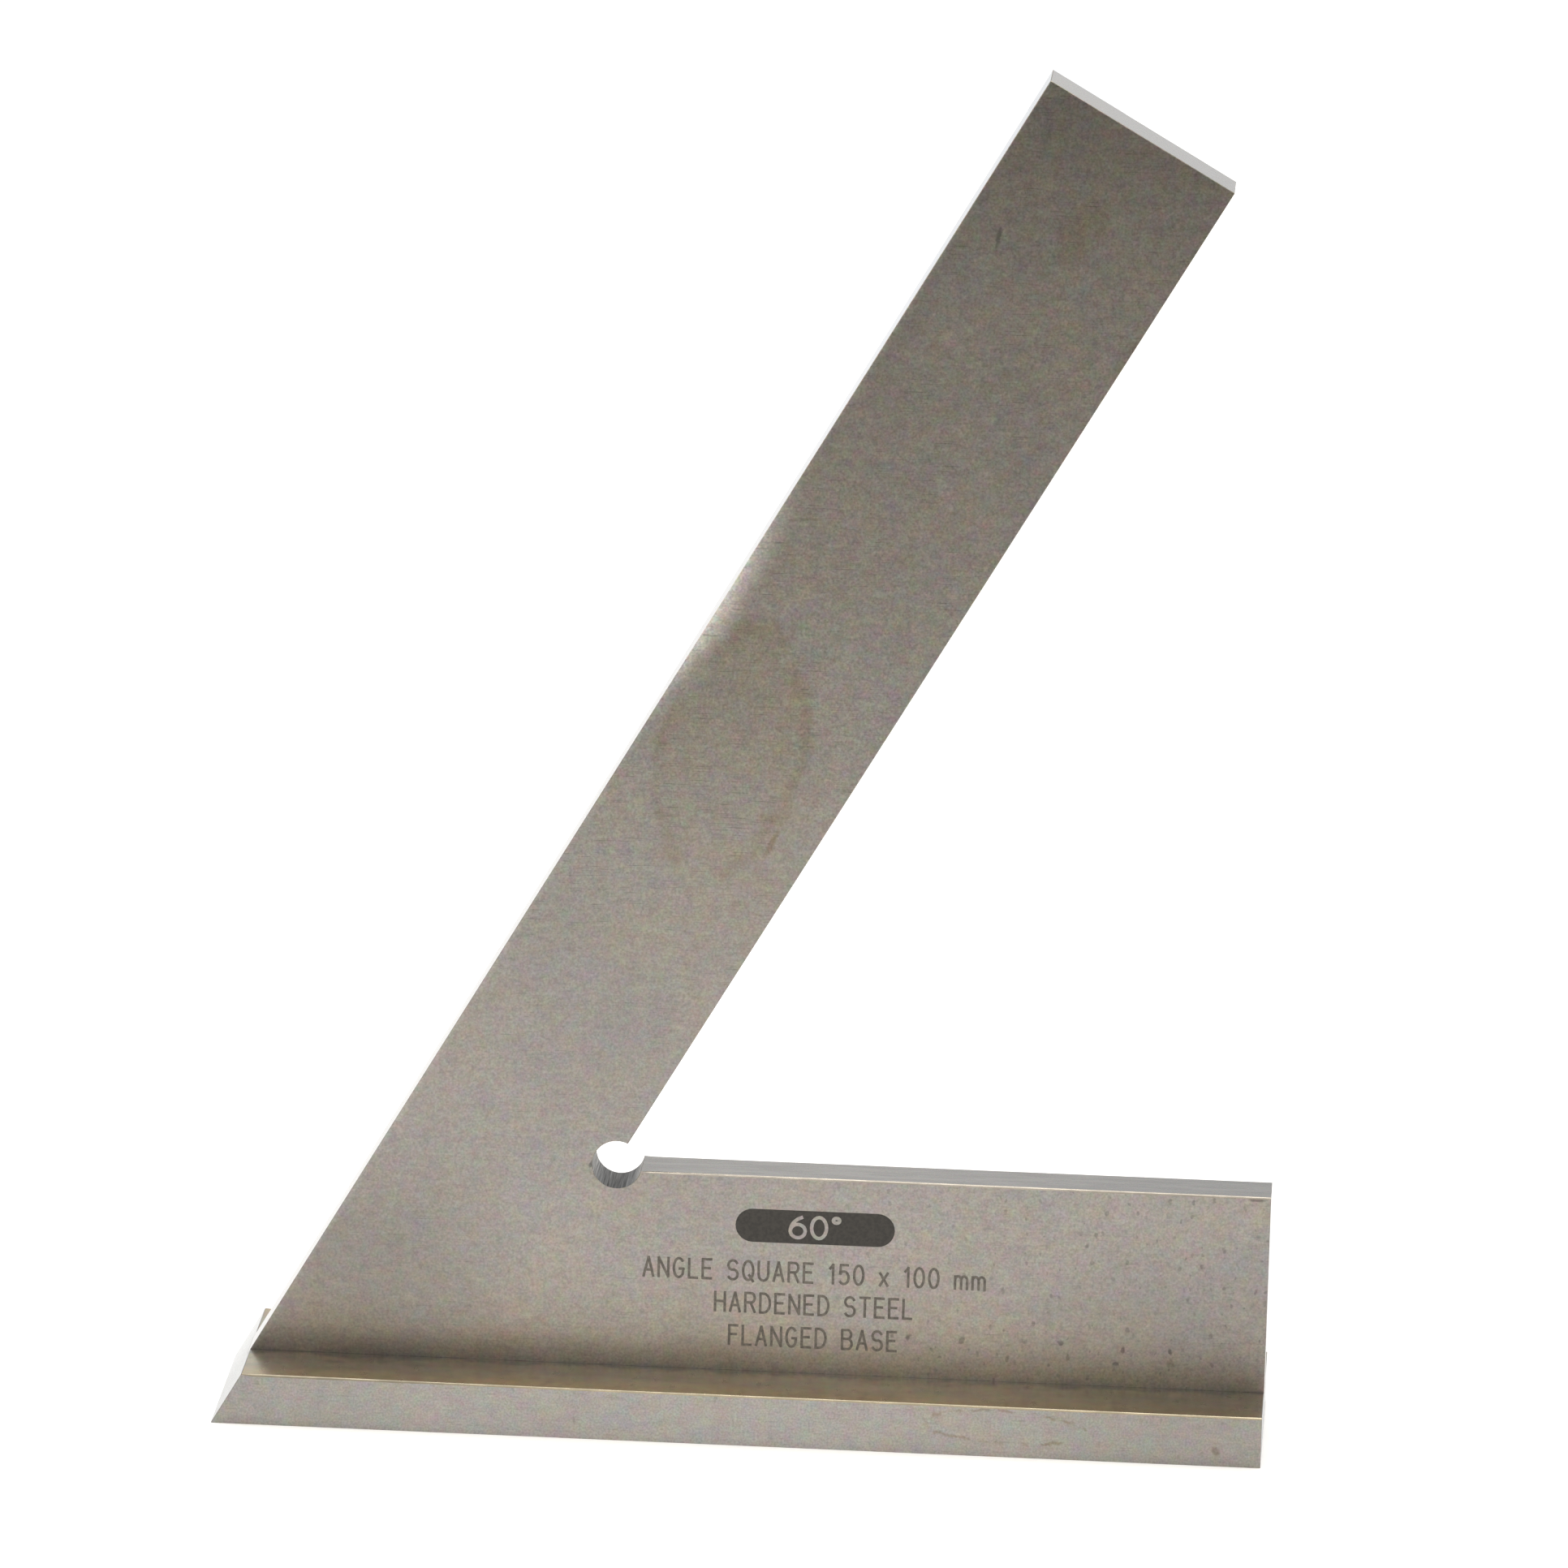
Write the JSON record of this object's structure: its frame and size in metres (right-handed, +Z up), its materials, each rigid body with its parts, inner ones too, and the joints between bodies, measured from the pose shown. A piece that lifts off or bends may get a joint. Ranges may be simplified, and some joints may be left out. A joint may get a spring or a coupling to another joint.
{
  "type": "angle square",
  "caption": "Fixed sixty degree angle square: a slanted flat blade and level leg in one ground plate with a relief hole at the inner corner, standing on a wide flat base bar.",
  "frame": {"origin": "middle of the underside of the base bar, halfway along its length and across its width", "axes": "+Z up from the underside; +X along the base from the apex of the angle towards the free end of the leg; +Y across the base, away from the front face"},
  "size_m": [0.1, 0.02, 0.1316],
  "materials": {
    "plate_steel": "ground stainless steel, satin",
    "base_steel": "ground stainless steel, satin",
    "screw_steel": "dark oiled steel",
    "dowel_steel": "bright ground steel"
  },
  "bodies": {
    "root": {"square_plate": "plate_steel", "base_bar": "base_steel", "fixing_screw_1": "screw_steel", "fixing_screw_2": "screw_steel", "fixing_screw_3": "screw_steel", "dowel_pin_1": "dowel_steel", "dowel_pin_2": "dowel_steel"}
  },
  "joints": []
}
